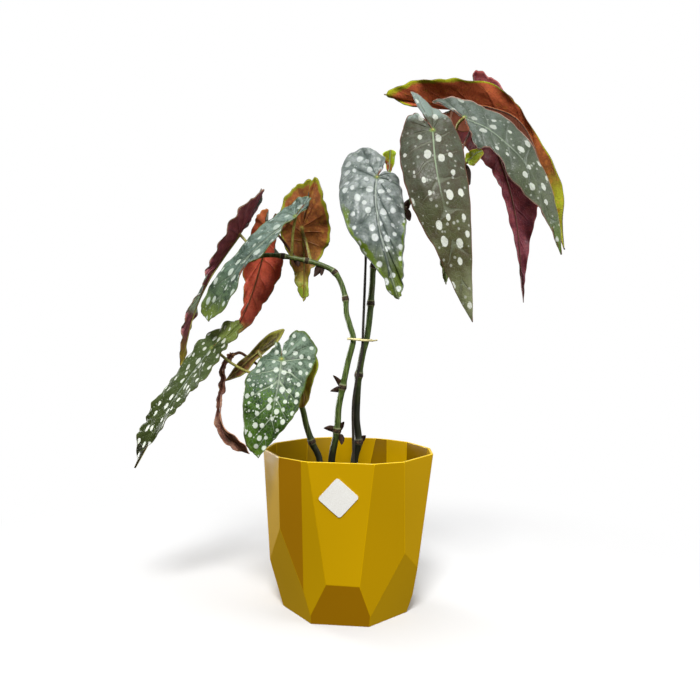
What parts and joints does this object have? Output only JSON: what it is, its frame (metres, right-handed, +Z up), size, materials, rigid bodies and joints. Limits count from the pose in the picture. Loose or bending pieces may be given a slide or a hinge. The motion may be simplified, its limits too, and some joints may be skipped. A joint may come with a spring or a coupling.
{
  "type": "potted begonia",
  "caption": "Polka-dot cane begonia with long wing-shaped leaves, red beneath, tied to a thin stake, in a faceted ochre plastic cover pot with a bare white sticker.",
  "frame": {"origin": "middle of the cover pot's foot, on the surface it stands on", "axes": "+Z up; -Y towards the viewer of the picture, the side with the sticker; +X to the viewer's right"},
  "size_m": [0.3389, 0.1354, 0.4489],
  "materials": {
    "pot": "moulded, softly glossy ochre yellow",
    "nursery_pot": "thin black grower's pot",
    "label": "bare white coated sticker",
    "soil": null,
    "stem": "smooth green cane, darker at the foot, brown node rings",
    "stake": "thin black stick",
    "tie": "pale yellow soft tie",
    "spotted_leaf": "grey green to silver with pale round spots, maroon beneath; leather stands in for the leaf",
    "red_leaf": "brick red to maroon underside with a green margin, spotted green above",
    "olive_leaf": "olive with a brown tinge",
    "young_leaf": "bright yellow green",
    "dried_leaf": "dry brown curled leaf"
  },
  "bodies": {
    "root": {"growing_tip": "young_leaf", "label": "label", "leaf_back_maroon": "red_leaf", "leaf_behind_spotted": "olive_leaf", "leaf_brick_red": "red_leaf", "leaf_brown_red": "red_leaf", "leaf_dried": "dried_leaf", "leaf_far_left": "red_leaf", "leaf_front_spotted": "spotted_leaf", "leaf_grey_green": "spotted_leaf", "leaf_large_hanging": "spotted_leaf", "leaf_large_right": "spotted_leaf", "leaf_low_left": "spotted_leaf", "leaf_narrow_hidden": "young_leaf", "leaf_silver": "spotted_leaf", "leaf_small_olive": "olive_leaf", "leaf_top_red": "red_leaf", "leaf_young_funnel": "young_leaf", "nursery_pot": "nursery_pot", "pot": "pot", "soil": "soil", "stake": "stake", "stem_middle": "stem", "stem_right": "stem", "stem_short": "stem", "tie": "tie"}
  },
  "joints": []
}
